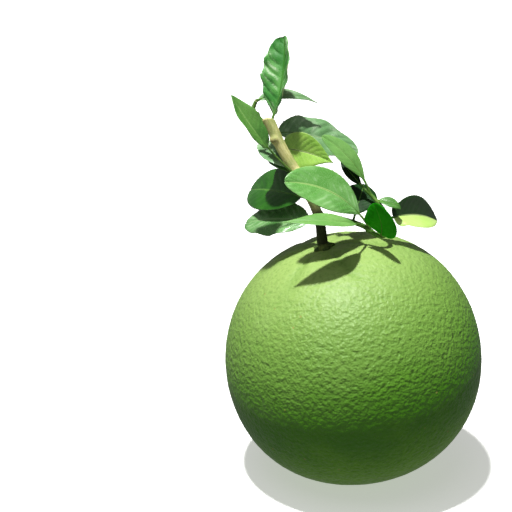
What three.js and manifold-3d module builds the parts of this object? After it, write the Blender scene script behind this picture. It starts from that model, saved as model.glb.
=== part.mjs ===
// A pomelo as picked: one round green fruit with the cut piece of leafy branch that it hung on.
// Millimetres, +Z up. The origin is the middle of the flat spot that the fruit rests on.
// The viewer stands at -Y, so heading 0 points right, 90 away, 180 left and -90 towards the viewer.
import * as THREE from "three";
import { mergeVertices } from "three/addons/utils/BufferGeometryUtils.js";
import Module from "manifold-3d";

const wasm = await Module();
wasm.setup();

// Driving dimensions
const fruitDiameter = 160;
const restDiameter = 34; // the flat spot under the fruit
const stemDiameter = 6.2; // the woody branch where it leaves the fruit
const leafScale = 1; // 1 is a leaf blade of about 50 mm
const bladeThickness = 0.7;
const clearance = 0.3; // between a piece and what it grows from

// The fruit's form
const fruitRadius = fruitDiameter / 2;
const restRadius = restDiameter / 2;
const centreHeight = Math.sqrt(fruitRadius ** 2 - restRadius ** 2);
const fruitCentre = new THREE.Vector3(0, 0, centreHeight);
const stemAxis = new THREE.Vector3(-0.254, -0.025, 0.967).normalize(); // the fruit's own axis leans left
// Depths in millimetres, spreads and places in radians from the stem.
const crownFlat = { depth: 3, spread: 0.6 };
const dimple = { depth: 1.8, spread: 0.17 };
const fullness = { rise: 1.8, at: 2.2, spread: 0.5 }; // broadest below the middle
const furrows = { count: 6, depth: 0.9, from: 0.1, to: 0.62 };
const blossomEnd = { depth: 1, spread: 0.1 };
const lumps = { size: 0.6, waves: 3 };
const fruitSides = 48;
const fruitRings = 26;

const up = new THREE.Vector3(0, 0, 1);
const radians = THREE.MathUtils.degToRad;
const bell = (x, spread) => Math.exp(-((x / spread) ** 2));

// Distance from the fruit's centre to its skin in a direction.
function skinRadius(direction) {
  const fromStem = direction.angleTo(stemAxis);
  const side = new THREE.Vector3(1, 0, 0).projectOnPlane(stemAxis).normalize();
  const back = new THREE.Vector3().crossVectors(stemAxis, side);
  const turn = Math.atan2(direction.dot(back), direction.dot(side));
  const share = THREE.MathUtils.clamp((fromStem - furrows.from) / (furrows.to - furrows.from), 0, 1);
  const furrow = Math.max(0, Math.cos(furrows.count * turn + 0.7)) ** 3 * Math.sin(Math.PI * share);
  const high = Math.sin(lumps.waves * turn + 1) * Math.sin(2 * fromStem);
  const broad = 0.6 * Math.sin(2 * turn) * Math.sin(fromStem);
  return (
    fruitRadius -
    crownFlat.depth * bell(fromStem, crownFlat.spread) -
    dimple.depth * bell(fromStem, dimple.spread) +
    fullness.rise * bell(fromStem - fullness.at, fullness.spread) -
    furrows.depth * furrow -
    blossomEnd.depth * bell(Math.PI - fromStem, blossomEnd.spread) +
    lumps.size * (high + broad) * Math.sin(fromStem)
  );
}

// A closed mesh from rings with the same number of points each, and a point to close each end.
function closedRings(rings, first, last) {
  const sides = rings[0].length;
  const points = [first, ...rings.flat(), last];
  const index = [];
  const at = (ring, side) => 1 + ring * sides + (side % sides);
  for (let s = 0; s < sides; s++) {
    index.push(0, at(0, s + 1), at(0, s));
    index.push(points.length - 1, at(rings.length - 1, s), at(rings.length - 1, s + 1));
    for (let r = 0; r + 1 < rings.length; r++) {
      index.push(at(r, s), at(r, s + 1), at(r + 1, s + 1));
      index.push(at(r, s), at(r + 1, s + 1), at(r + 1, s));
    }
  }
  return new THREE.BufferGeometry().setFromPoints(points).setIndex(index);
}

// The fruit, or one grown by a margin, to cut a seat with.
function fruitGeometry(margin = 0) {
  const rimAngle = Math.PI - Math.asin(restRadius / fruitRadius);
  const rings = [];
  for (let r = 0; r < fruitRings; r++) {
    const tilt = rimAngle * (1 - r / fruitRings);
    const ring = [];
    for (let s = 0; s < fruitSides; s++) {
      const direction = new THREE.Vector3().setFromSphericalCoords(1, tilt, 0);
      direction.set(direction.z, 0, direction.y).applyAxisAngle(up, (2 * Math.PI * s) / fruitSides);
      const point = direction.clone().multiplyScalar(skinRadius(direction) + margin).add(fruitCentre);
      if (r === 0) {
        point.set(direction.x, direction.y, 0).setLength(restRadius);
      }
      ring.push(point);
    }
    rings.push(ring);
  }
  const top = up.clone().multiplyScalar(skinRadius(up) + margin).add(fruitCentre);
  return closedRings(rings, new THREE.Vector3(0, 0, 0), top);
}

// The twigs: the points that each passes through, from the fruit's centre, and its radius along the way.
const seat = stemAxis.clone().multiplyScalar(skinRadius(stemAxis));
const calyx = { radius: 6.2, lobe: 0.9, lobes: 5, height: 3.2 };
const stemBase = seat.clone().addScaledVector(stemAxis, calyx.height + clearance).toArray();
const fromCentre = (points) =>
  new THREE.CatmullRomCurve3(points.map(([x, y, z]) => new THREE.Vector3(x, y, z).add(fruitCentre)));
const twigs = {
  branch: {
    path: fromCentre([
      stemBase,
      [-21, -2.5, 84.8],
      [-23.2, -2, 94.8],
      [-28.7, 0, 106.3],
      [-36.3, 3, 119.2],
      [-45.1, 6, 133.4],
      [-52.7, 9, 149.3],
    ]),
    radii: [1.06, 0.97, 0.93, 0.97, 1.04, 1.1, 1.12].map((share) => (share * stemDiameter) / 2),
    sides: 12,
    steps: 20,
    knobs: [0.2, 0.4, 0.57, 0.69, 0.86],
    knobRadius: 1.8,
    color: 0xbcc487,
  },
  shoot_right: {
    grows: { on: "branch", at: 0.2 },
    path: [
      [-9.1, -5, 92],
      [-1.4, -8, 90.8],
      [5.8, -10, 88.3],
      [11.7, -12, 84.5],
      [16.7, -11, 83.5],
      [19.2, -8, 87.3],
      [18.1, -5, 93.9],
      [14.5, -2, 99.9],
      [10.4, 1, 104],
      [6.2, 3, 107.8],
    ],
    radii: [2, 1.6, 1.5, 1.5, 1.45, 1.4, 1.3, 1.2, 1],
    sides: 8,
    steps: 22,
    knobs: [0.18, 0.42, 0.64, 0.8],
    knobRadius: 1.3,
    color: 0x4f8f35,
  },
  shoot_top: {
    grows: { on: "branch", at: 0.93 },
    path: [[-58.7, 13, 150.1], [-62, 14, 155.4], [-60.5, 14, 160.4]],
    radii: [1.9, 1.5, 1.3, 1.1],
    sides: 8,
    steps: 9,
    knobs: [0.6],
    knobRadius: 1.3,
    color: 0x4f8f35,
  },
};
for (const twig of Object.values(twigs)) {
  if (twig.grows) {
    const start = twigs[twig.grows.on].path.getPointAt(twig.grows.at).sub(fruitCentre).toArray();
    twig.path = fromCentre([start, ...twig.path]);
  }
}

function radiusAt(twig, share) {
  const place = share * (twig.radii.length - 1);
  const low = Math.min(Math.floor(place), twig.radii.length - 2);
  return THREE.MathUtils.lerp(twig.radii[low], twig.radii[low + 1], place - low);
}

function twigGeometry(twig, margin = 0) {
  const frames = twig.path.computeFrenetFrames(twig.steps, false);
  const rings = [];
  for (let r = 0; r <= twig.steps; r++) {
    const beyond = margin * (r === twig.steps) - margin * (r === 0);
    const centre = twig.path.getPointAt(r / twig.steps).addScaledVector(frames.tangents[r], beyond);
    const radius = radiusAt(twig, r / twig.steps) + margin;
    const ring = [];
    for (let s = 0; s < twig.sides; s++) {
      const turn = (2 * Math.PI * s) / twig.sides;
      ring.push(
        centre
          .clone()
          .addScaledVector(frames.normals[r], radius * Math.cos(turn))
          .addScaledVector(frames.binormals[r], radius * Math.sin(turn)),
      );
    }
    rings.push(ring);
  }
  const ends = [0, 1].map((share) =>
    twig.path.getPointAt(share).addScaledVector(twig.path.getTangentAt(share), margin * (2 * share - 1)),
  );
  return closedRings(rings, ...ends);
}

// A knob where a bud or a leaf sits: it stands out of the twig, on alternate sides.
function knobGeometry(twig, share, turn, margin) {
  const tangent = twig.path.getTangentAt(share);
  const out = up.clone().projectOnPlane(tangent).normalize().applyAxisAngle(tangent, turn);
  const knob = new THREE.IcosahedronGeometry(twig.knobRadius + margin, 1);
  knob.scale(1, 1, 1.5);
  knob.applyQuaternion(new THREE.Quaternion().setFromUnitVectors(up, tangent));
  const sunk = radiusAt(twig, share) - 0.35 * twig.knobRadius;
  return knob.translate(...twig.path.getPointAt(share).addScaledVector(out, sunk).toArray());
}

// The calyx: a low five-lobed button between the fruit and the stem.
function calyxGeometry() {
  const rings = [];
  const side = new THREE.Vector3(1, 0, 0).projectOnPlane(stemAxis).normalize();
  const back = new THREE.Vector3().crossVectors(stemAxis, side);
  const profile = [[0.9, -2.6], [1, 0.4], [0.93, 1.3], [0.62, 1.9], [0.5, calyx.height]];
  const sides = 30;
  for (const [share, height] of profile) {
    const ring = [];
    for (let s = 0; s < sides; s++) {
      const turn = (2 * Math.PI * s) / sides;
      const lobe = share > 0.6 ? calyx.lobe * Math.cos(calyx.lobes * turn) : 0;
      const radius = calyx.radius * share + lobe * share;
      ring.push(
        seat
          .clone()
          .add(fruitCentre)
          .addScaledVector(stemAxis, height)
          .addScaledVector(side, radius * Math.cos(turn))
          .addScaledVector(back, radius * Math.sin(turn)),
      );
    }
    rings.push(ring);
  }
  const ends = [profile[0][1], calyx.height].map((height) =>
    seat.clone().add(fruitCentre).addScaledVector(stemAxis, height),
  );
  return closedRings(rings, ...ends);
}

// The leaves. Each grows from its twig at a share of the twig's length and ends at its tip, a place from
// the fruit's centre; face is the way its upper side looks. Arch and sweep bow the midrib towards the
// upper side and across it, fold lifts the two halves in degrees, and wave ripples the edges. Neck is the
// bare petiole's share of the length. Base and end say how narrowly the blade starts and ends, from 0.5 for
// round to 1.2 for drawn out, and a skew over 1 moves its widest place towards the tip.
const petiole = { share: 0.17, radius: 0.85 };
const rib = { depth: 0.7, radius: 1 };
const levelWidth = 2; // where half a blade is narrower than this, its faces stay level across
const leaves = {
  leaf_crown: {
    on: "branch", at: 0.975, tip: [-43.7, 26, 196.7], face: [-0.66, -0.65, 0.3], width: 31.5,
    arch: 0, sweep: 4, fold: 48, wave: 1.2, waves: 4, neck: 0.1, base: 0.78, end: 0.36, skew: 1.1,
  },
  leaf_crown_back: {
    on: "shoot_top", at: 1, tip: [-22.2, 36, 153.7], face: [0, -0.5, 0.85], width: 10,
    arch: 2.5, sweep: -4, fold: 12, neck: 0.05, base: 0.6, end: 1.4, skew: 0.85,
  },
  leaf_high_left: {
    on: "branch", at: 0.52, tip: [-75.3, 4, 166.5], face: [0.4, -0.65, 0.65], width: 18,
    arch: 2, sweep: -5.5, fold: 36, wave: 0.8, waves: 2, neck: 0.43, base: 0.6, end: 0.8,
  },
  leaf_low_left: {
    on: "branch", at: 0.6, tip: [-59.3, 26, 130.2], face: [0.35, -0.7, 0.6], width: 21,
    arch: 1, sweep: 2, fold: 10, neck: 0.08, base: 0.55, end: 0.6,
  },
  leaf_high_right: {
    on: "branch", at: 0.9, tip: [3.2, 36, 121.7], face: [0, -0.7, 0.7], width: 27,
    arch: -5, sweep: -8.5, fold: 6, wave: 1.4, waves: 3, neck: 0.06, base: 0.62, end: 0.5, skew: 1.1,
  },
  leaf_bright: {
    on: "branch", at: 0.78, tip: [-13.3, 12, 122.2], face: [0, -0.85, 0.5], width: 23.5,
    arch: -3, sweep: -2.5, fold: 20, neck: 0.05, base: 0.5, end: 1.15, skew: 0.6,
  },
  leaf_left: {
    on: "branch", at: 0.34, tip: [-64, 56, 91.3], face: [-0.1, -0.82, 0.55], width: 30.5,
    arch: 5, sweep: 0, fold: 10, neck: 0.12, base: 0.6, end: 0.5,
  },
  leaf_left_gloss: {
    on: "branch", at: 0.15, tip: [-66.8, 32, 76.9], face: [0, -0.62, 0.78], width: 28,
    arch: 4, sweep: 0, fold: 8, wave: 1, waves: 3, neck: 0.12, base: 0.7, end: 0.5,
  },
  leaf_back: {
    on: "branch", at: 0.48, tip: [-43.4, 44, 116.2], face: [-0.3, 0.3, 0.8], width: 26,
    arch: 7, sweep: 0, fold: 12,
  },
  leaf_front: {
    on: "shoot_right", at: 0.46, tip: [-43.8, -20, 120], face: [0.15, -0.62, 0.77], width: 28.5,
    arch: 5, sweep: 7, fold: 9, neck: 0.2, base: 0.8, end: 0.52, skew: 1.04,
  },
  leaf_front_low: {
    on: "shoot_right", at: 0.38, tip: [-45.1, -40, 101.6], face: [0, -0.3, 0.95], width: 15.5,
    arch: 8, sweep: -9, fold: 10, neck: 0.2, base: 0.85, end: 1,
  },
  leaf_dark: {
    on: "shoot_right", at: 0.53, tip: [8.9, -21, 107.3], face: [-0.58, -0.8, -0.18], width: 22.5,
    arch: 2, sweep: 4, fold: 8, neck: 0.06, base: 0.55, end: 0.45,
  },
  leaf_right: {
    on: "shoot_right", at: 0.71, tip: [54.6, 34, 77.6], face: [0.1, -0.8, 0.6], width: 28,
    arch: 3, sweep: -2, fold: 38, neck: 0.1, base: 0.6, end: 1.05, skew: 0.75,
  },
  leaf_right_small: {
    on: "shoot_right", at: 0.88, tip: [27.2, -3, 97.7], face: [0.2, -0.4, 0.85], width: 9,
    arch: 2, sweep: 0, fold: 10, neck: 0.06,
  },
  leaf_upper_right: {
    on: "shoot_right", at: 0.95, tip: [-21.1, 8, 140.3], face: [0.4, -0.7, 0.6], width: 13.5,
    arch: 3, sweep: 3, fold: 6, neck: 0.16, base: 1.05, end: 0.55, skew: 1.15,
  },
  leaf_upper_back: {
    on: "shoot_right", at: 1, tip: [-8.4, 18, 122.4], face: [-0.3, -0.5, 0.8], width: 7,
    arch: 2, sweep: -1, fold: 8,
  },
  leaf_back_low: {
    on: "shoot_right", at: 0.28, tip: [6.3, 20, 106.4], face: [0, -0.7, 0.5], width: 21,
    arch: 3, sweep: 0, fold: 10,
  },
};
const acrossShares = [-1, -0.7, -0.35, 0, 0.35, 0.7, 1];
const bladeRings = 12;

function leafGeometry(leaf, root) {
  const chord = new THREE.Vector3(...leaf.tip).add(fruitCentre).sub(root);
  const length = chord.length() * leafScale;
  const along = chord.normalize();
  const face = new THREE.Vector3(...leaf.face).projectOnPlane(along).normalize();
  const across = new THREE.Vector3().crossVectors(along, face);
  const halfWidth = (leaf.width * leafScale) / 2;
  const fold = radians(leaf.fold);
  const neck = leaf.neck ?? petiole.share;
  const shares = [0, neck / 2];
  for (let r = 0; r < bladeRings; r++) {
    const blade = (1 - Math.cos((Math.PI * r) / (bladeRings - 1))) / 2;
    shares.push(neck + (1 - neck) * blade);
  }
  const middles = [];
  const rings = shares.map((share) => {
    const bow = 4 * share * (1 - share);
    const bend = 4 * (1 - 2 * share);
    const middle = root
      .clone()
      .addScaledVector(along, length * share)
      .addScaledVector(face, leaf.arch * bow)
      .addScaledVector(across, leaf.sweep * bow);
    const tangent = along
      .clone()
      .multiplyScalar(length)
      .addScaledVector(face, leaf.arch * bend)
      .addScaledVector(across, leaf.sweep * bend)
      .normalize();
    const side = new THREE.Vector3().crossVectors(tangent, face).normalize();
    const normal = new THREE.Vector3().crossVectors(side, tangent);
    const blade = Math.max(0, (share - neck) / (1 - neck));
    const open = THREE.MathUtils.smoothstep(blade, 0, 0.12);
    const bluntness = THREE.MathUtils.lerp(leaf.base ?? 0.75, leaf.end ?? 0.75, blade);
    const outline = halfWidth * Math.max(0, Math.sin(Math.PI * blade ** (leaf.skew ?? 0.92))) ** bluntness;
    const width = Math.max(petiole.radius * (1 - 0.6 * blade), outline);
    const cup = (s) => width * Math.sin(fold) * open * (Math.abs(s) ** 1.3 - 0.35 * Math.abs(s) ** 3);
    const ripple = (s) => Math.sin(2 * Math.PI * (leaf.waves ?? 0) * blade + (s < 0 ? 2.1 : 0));
    const lift = (s) => cup(s) + (leaf.wave ?? 0) * s * s * Math.sin(Math.PI * blade) * ripple(s);
    const half = (s) => {
      const round = petiole.radius * Math.sqrt(1 - s * s) + 0.2;
      const ribbed = rib.depth * (1 - blade) * bell(s * width, rib.radius);
      return THREE.MathUtils.lerp(round, (bladeThickness + ribbed) / 2, open);
    };
    const point = (s, sign) => {
      const slope = (lift(s + 0.01) - lift(s - 0.01)) / (0.02 * width);
      const lean = slope * Math.min(1, width / levelWidth);
      const outwards = normal.clone().addScaledVector(side, -lean).normalize();
      return middle
        .clone()
        .addScaledVector(side, s * width * Math.cos(fold * open * Math.abs(s)))
        .addScaledVector(normal, lift(s))
        .addScaledVector(outwards, sign * half(s));
    };
    middles.push(middle);
    const upper = acrossShares.map((s) => point(s, 1));
    const lower = acrossShares.map((s) => point(s, -1));
    return [upper, lower];
  });
  return bladeMesh(rings, middles[0], middles.at(-1));
}

// Joins the upper and lower points of each ring, with the same diagonals on both faces.
function bladeMesh(rings, first, last) {
  const wide = acrossShares.length;
  const points = [...rings.flat(2), first, last];
  const index = [];
  const at = (ring, under, s) => (2 * ring + under) * wide + s;
  const quad = (a, b, c, d) => index.push(a, b, c, a, c, d);
  const ends = [0, rings.length - 1];
  for (let r = 0; r < ends[1]; r++) {
    for (let s = 0; s + 1 < wide; s++) {
      quad(at(r, 0, s), at(r, 0, s + 1), at(r + 1, 0, s + 1), at(r + 1, 0, s));
      quad(at(r, 1, s), at(r + 1, 1, s), at(r + 1, 1, s + 1), at(r, 1, s + 1));
    }
    quad(at(r, 1, 0), at(r, 0, 0), at(r + 1, 0, 0), at(r + 1, 1, 0));
    quad(at(r, 0, wide - 1), at(r, 1, wide - 1), at(r + 1, 1, wide - 1), at(r + 1, 0, wide - 1));
  }
  for (const end of [0, 1]) {
    const loop = [];
    for (let s = 0; s < wide; s++) {
      loop.push(at(ends[end], 0, s));
    }
    for (let s = wide - 1; s >= 0; s--) {
      loop.push(at(ends[end], 1, s));
    }
    const hub = rings.length * 2 * wide + end;
    loop.forEach((a, i) => {
      const b = loop[(i + 1) % loop.length];
      index.push(...(end ? [hub, a, b] : [hub, b, a]));
    });
  }
  return new THREE.BufferGeometry().setFromPoints(points).setIndex(index);
}

function solid(geometry) {
  const bare = new THREE.BufferGeometry();
  bare.setAttribute("position", geometry.getAttribute("position").clone());
  bare.setIndex(geometry.getIndex());
  const merged = mergeVertices(bare, 1e-4);
  return new wasm.Manifold(
    new wasm.Mesh({
      numProp: 3,
      vertProperties: new Float32Array(merged.getAttribute("position").array),
      triVerts: new Uint32Array(merged.getIndex().array),
    }),
  );
}

function geometryOf(manifold) {
  const mesh = manifold.getMesh();
  const geometry = new THREE.BufferGeometry();
  geometry.setAttribute("position", new THREE.BufferAttribute(new Float32Array(mesh.vertProperties), 3));
  geometry.setIndex(new THREE.BufferAttribute(new Uint32Array(mesh.triVerts), 1));
  return geometry;
}

const largest = (manifold) =>
  manifold.decompose().reduce((best, body) => (body.volume() > best.volume() ? body : best));

const pomelo = new THREE.Group();
pomelo.name = "pomelo";

function addPiece(name, manifold, color, roughness) {
  const material = new THREE.MeshStandardMaterial({ color, roughness, metalness: 0 });
  const mesh = new THREE.Mesh(geometryOf(manifold), material);
  mesh.name = name;
  pomelo.add(mesh);
}

addPiece("fruit", solid(fruitGeometry()), 0x7fae45, 0.45);
const button = solid(calyxGeometry()).subtract(solid(fruitGeometry(clearance)));
addPiece("calyx", largest(button.subtract(solid(twigGeometry(twigs.branch, clearance)))), 0x3f6b2a, 0.7);

// A twig with its knobs, or one grown by a margin, to cut what grows on it with.
function twigBody(twig, margin = 0) {
  const knobs = twig.knobs.map((share, i) => solid(knobGeometry(twig, share, 1 + 2.4 * i, margin)));
  return knobs.reduce((body, knob) => body.add(knob), solid(twigGeometry(twig, margin)));
}

for (const [name, twig] of Object.entries(twigs)) {
  const body = twigBody(twig);
  const cut = twig.grows ? largest(body.subtract(twigBody(twigs[twig.grows.on], clearance))) : body;
  addPiece(name, cut, twig.color, 0.75);
}

for (const [name, leaf] of Object.entries(leaves)) {
  const twig = twigs[leaf.on];
  const body = solid(leafGeometry(leaf, twig.path.getPointAt(leaf.at)));
  addPiece(name, largest(body.subtract(twigBody(twig, clearance))), 0x4d9438, 0.4);
}

export default pomelo;
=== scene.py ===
# A pomelo standing on its end, with the cut piece of leafy branch that it grew on.
# The tables below are in millimetres and degrees; everything that is made is in metres.
import math

import bpy
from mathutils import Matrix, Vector


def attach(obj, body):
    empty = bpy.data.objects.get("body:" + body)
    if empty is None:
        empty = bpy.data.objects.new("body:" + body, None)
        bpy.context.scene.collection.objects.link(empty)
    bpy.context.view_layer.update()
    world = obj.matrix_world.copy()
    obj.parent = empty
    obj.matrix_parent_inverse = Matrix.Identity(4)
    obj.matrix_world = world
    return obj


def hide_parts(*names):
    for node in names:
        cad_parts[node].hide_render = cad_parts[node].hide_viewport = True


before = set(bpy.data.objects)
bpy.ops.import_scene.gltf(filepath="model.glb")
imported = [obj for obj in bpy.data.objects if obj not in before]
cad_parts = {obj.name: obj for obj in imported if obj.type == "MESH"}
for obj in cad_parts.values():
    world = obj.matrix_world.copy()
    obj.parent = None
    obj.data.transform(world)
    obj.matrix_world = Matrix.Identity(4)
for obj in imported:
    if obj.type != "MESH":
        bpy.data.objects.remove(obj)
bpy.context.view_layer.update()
print("frame loaded")

mm = 0.001
tidySeed = 7


# Wires: sockets that take part in plain arithmetic, so that a formula in a tree reads as one
def plug(tree, socket, value):
    if isinstance(value, Wire):
        tree.links.new(value.socket, socket)
    elif isinstance(value, bpy.types.NodeSocket):
        tree.links.new(value, socket)
    else:
        socket.default_value = value


def addNode(tree, kind, inputs=None, **settings):
    made = tree.nodes.new(kind)
    for name, value in settings.items():
        setattr(made, name, value)
    for name, value in (inputs or {}).items():
        plug(tree, made.inputs[name], value)
    return made


class Wire:
    def __init__(self, tree, socket):
        self.tree, self.socket = tree, socket

    def scalar(self, operation, *others):
        made = self.tree.nodes.new("ShaderNodeMath")
        made.operation = operation
        for socket, value in zip(made.inputs, (self, *others)):
            plug(self.tree, socket, value)
        return Wire(self.tree, made.outputs[0])

    def vector(self, operation, *others, out=0):
        made = self.tree.nodes.new("ShaderNodeVectorMath")
        made.operation = operation
        for socket, value in zip(made.inputs, (self, *others)):
            plug(self.tree, socket, value)
        return Wire(self.tree, made.outputs[out])

    def scaled(self, amount):
        made = addNode(self.tree, "ShaderNodeVectorMath", operation="SCALE")
        plug(self.tree, made.inputs[0], self)
        plug(self.tree, made.inputs["Scale"], amount)
        return Wire(self.tree, made.outputs[0])

    def isVector(self):
        return self.socket.type == "VECTOR"

    def __add__(self, other):
        return self.vector("ADD", other) if self.isVector() else self.scalar("ADD", other)

    __radd__ = __add__

    def __sub__(self, other):
        return self.vector("SUBTRACT", other) if self.isVector() else self.scalar("SUBTRACT", other)

    def __rsub__(self, other):
        return self.scalar("MULTIPLY_ADD", -1.0, other)

    def __mul__(self, other):
        if self.isVector():
            return self.scaled(other)
        if isinstance(other, Wire) and other.isVector():
            return other.scaled(self)
        return self.scalar("MULTIPLY", other)

    __rmul__ = __mul__

    def __truediv__(self, other):
        return self.scalar("DIVIDE", other)

    def __pow__(self, power):
        return self.scalar("POWER", power)


def sine(a): return a.scalar("SINE")
def cosine(a): return a.scalar("COSINE")
def size(a): return a.scalar("ABSOLUTE")
def most(a, b): return a.scalar("MAXIMUM", b)
def least(a, b): return a.scalar("MINIMUM", b)
def unit(v): return v.vector("NORMALIZE")
def dot(v, w): return v.vector("DOT_PRODUCT", w, out=1)
def cross(v, w): return v.vector("CROSS_PRODUCT", w)
def span(v): return v.vector("LENGTH", out=1)
def bell(a, spread): return (a / spread * (a / spread) * -1.0).scalar("EXPONENT")


def rise(a, low, high, bottom=0.0, top=1.0):
    made = addNode(a.tree, "ShaderNodeMapRange", interpolation_type="SMOOTHSTEP")
    labels = ("Value", "From Min", "From Max", "To Min", "To Max")
    for label, value in zip(labels, (a, low, high, bottom, top)):
        plug(a.tree, made.inputs[label], value)
    return Wire(a.tree, made.outputs[0])


def parts(v):
    made = addNode(v.tree, "ShaderNodeSeparateXYZ", {"Vector": v})
    return [Wire(v.tree, socket) for socket in made.outputs]


def joined(tree, x, y, z):
    made = addNode(tree, "ShaderNodeCombineXYZ", {"X": x, "Y": y, "Z": z})
    return Wire(tree, made.outputs[0])


def noise(v, scale, detail=2.0, roughness=0.5, w=0.0):
    made = addNode(v.tree, "ShaderNodeTexNoise", {"Vector": v, "Scale": scale, "Detail": detail,
                                                   "Roughness": roughness, "W": w}, noise_dimensions="4D")
    return Wire(v.tree, made.outputs[0])


def cells(v, scale, feature="F1"):
    made = addNode(v.tree, "ShaderNodeTexVoronoi", {"Vector": v, "Scale": scale}, feature=feature)
    return Wire(v.tree, made.outputs["Distance"])


# Geometry trees
socketKinds = {float: "NodeSocketFloat", int: "NodeSocketInt", tuple: "NodeSocketVector"}


def newTree(name, inputs, materials=("Material",)):
    tree = bpy.data.node_groups.new(name, "GeometryNodeTree")
    tree.is_modifier = True
    tree.interface.new_socket(name="Geometry", in_out="INPUT", socket_type="NodeSocketGeometry")
    for label, value in inputs.items():
        socket = tree.interface.new_socket(name=label, in_out="INPUT", socket_type=socketKinds[type(value)])
        socket.default_value = value
    for label in materials:
        tree.interface.new_socket(name=label, in_out="INPUT", socket_type="NodeSocketMaterial")
    tree.interface.new_socket(name="Geometry", in_out="OUTPUT", socket_type="NodeSocketGeometry")
    entry = tree.nodes.new("NodeGroupInput")
    given = {socket.name: Wire(tree, socket) for socket in entry.outputs if socket.name}
    return tree, given


def chain(tree, kind, geometry, inputs=None, **settings):
    made = addNode(tree, kind, inputs, **settings)
    source = next(s for s in made.inputs if s.type == "GEOMETRY")
    plug(tree, source, geometry)
    return Wire(tree, next(s for s in made.outputs if s.type == "GEOMETRY"))


def keepValue(tree, geometry, name, value, kind="FLOAT", domain="POINT"):
    return chain(tree, "GeometryNodeStoreNamedAttribute", geometry, {"Name": name, "Value": value},
                 data_type=kind, domain=domain)


def finishTree(tree, geometry, material, others=()):
    # others: (selection, material) pairs that go on after the main material
    ended = chain(tree, "GeometryNodeRealizeInstances", geometry)
    ended = chain(tree, "GeometryNodeSetShadeSmooth", ended)
    ended = chain(tree, "GeometryNodeSetMaterial", ended, {"Material": material})
    for selection, other in others:
        ended = chain(tree, "GeometryNodeSetMaterial", ended, {"Selection": selection, "Material": other})
    leave = tree.nodes.new("NodeGroupOutput")
    plug(tree, leave.inputs[0], ended)


def grow(name, tree, values, host=None):
    # runs a tree and keeps its result as a plain mesh
    host = host or bpy.data.objects.new(name + ".host", bpy.data.meshes.new(name + ".host"))
    bpy.context.scene.collection.objects.link(host)
    modifier = host.modifiers.new("grow", "NODES")
    modifier.node_group = tree
    for item in tree.interface.items_tree:
        if item.in_out == "INPUT" and item.name in values:
            modifier[item.identifier] = values[item.name]
    depsgraph = bpy.context.evaluated_depsgraph_get()
    mesh = bpy.data.meshes.new_from_object(host.evaluated_get(depsgraph), preserve_all_data_layers=True,
                                           depsgraph=depsgraph)
    host.modifiers.remove(modifier)
    bpy.data.objects.remove(host)
    mesh.name = name
    if mesh.materials and mesh.materials[0] is None:  # the empty slot that Set Material leaves first
        slots = [0] * len(mesh.polygons)
        mesh.polygons.foreach_get("material_index", slots)
        mesh.materials.pop(index=0)
        mesh.polygons.foreach_set("material_index", [max(slot - 1, 0) for slot in slots])
    piece = bpy.data.objects.new(name, mesh)
    bpy.context.scene.collection.objects.link(piece)
    return piece


def dress(piece, slot, *nodes):
    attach(piece, "root")
    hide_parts(*nodes)


def paint(*screen):
    # a screen colour, 0 to 255, as the linear one that the nodes take
    linear = [((v / 255 + 0.055) / 1.055) ** 2.4 if v > 10 else v / 255 / 12.92 for v in screen]
    return (*linear, 1.0)


# Shader groups and materials
def newGroup(name, inputs, outputs):
    group = bpy.data.node_groups.new(name, "ShaderNodeTree")
    for label, value in inputs.items():
        kind = "NodeSocketVector" if value is None else "NodeSocketFloat"
        socket = group.interface.new_socket(name=label, in_out="INPUT", socket_type=kind)
        if value is not None:
            socket.default_value = value
    for label in outputs:
        group.interface.new_socket(name=label, in_out="OUTPUT", socket_type="NodeSocketFloat")
    entry = group.nodes.new("NodeGroupInput")
    leave = group.nodes.new("NodeGroupOutput")
    return group, {s.name: Wire(group, s) for s in entry.outputs if s.name}, leave


def useGroup(tree, group, inputs):
    made = addNode(tree, "ShaderNodeGroup", node_tree=group)
    for name, value in inputs.items():
        plug(tree, made.inputs[name], value)
    return {s.name: Wire(tree, s) for s in made.outputs}


def mixed(amount, first, second):
    made = addNode(amount.tree, "ShaderNodeMix", data_type="RGBA")
    plug(amount.tree, made.inputs[0], amount)
    plug(amount.tree, made.inputs[6], first)
    plug(amount.tree, made.inputs[7], second)
    return Wire(amount.tree, made.outputs[2])


def newMaterial(name, **constants):
    material = bpy.data.materials.new(name)
    material.use_nodes = True
    tree = material.node_tree
    shader = tree.nodes["Principled BSDF"]
    for label, value in constants.items():
        shader.inputs[label.replace("_", " ")].default_value = value
    return material, tree, shader


def bumped(tree, shader, height, strength, distance):
    made = addNode(tree, "ShaderNodeBump", {"Strength": strength, "Distance": distance, "Height": height})
    plug(tree, shader.inputs["Normal"], made.outputs[0])


def objectPlace(tree):
    return Wire(tree, addNode(tree, "ShaderNodeTexCoord").outputs["Object"])


def attribute(tree, name):
    return Wire(tree, addNode(tree, "ShaderNodeAttribute", attribute_name=name).outputs["Fac"])


# mottle: soft blotches with a finer grain on them, for every living surface here
mottleGroup, given, leave = newGroup(
    "mottle", {"Vector": None, "Blotch": 90.0, "Grain": 900.0, "Contrast": 1.0}, ("Shade", "Fine"))
blotch = noise(given["Vector"], given["Blotch"], 3.0, 0.55)
grain = noise(given["Vector"], given["Grain"], 2.0, 0.6)
shade = ((blotch - 0.5) * 1.6 + (grain - 0.5) * 0.5) * given["Contrast"] + 0.5
plug(mottleGroup, leave.inputs["Shade"], shade)
plug(mottleGroup, leave.inputs["Fine"], grain)

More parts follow.
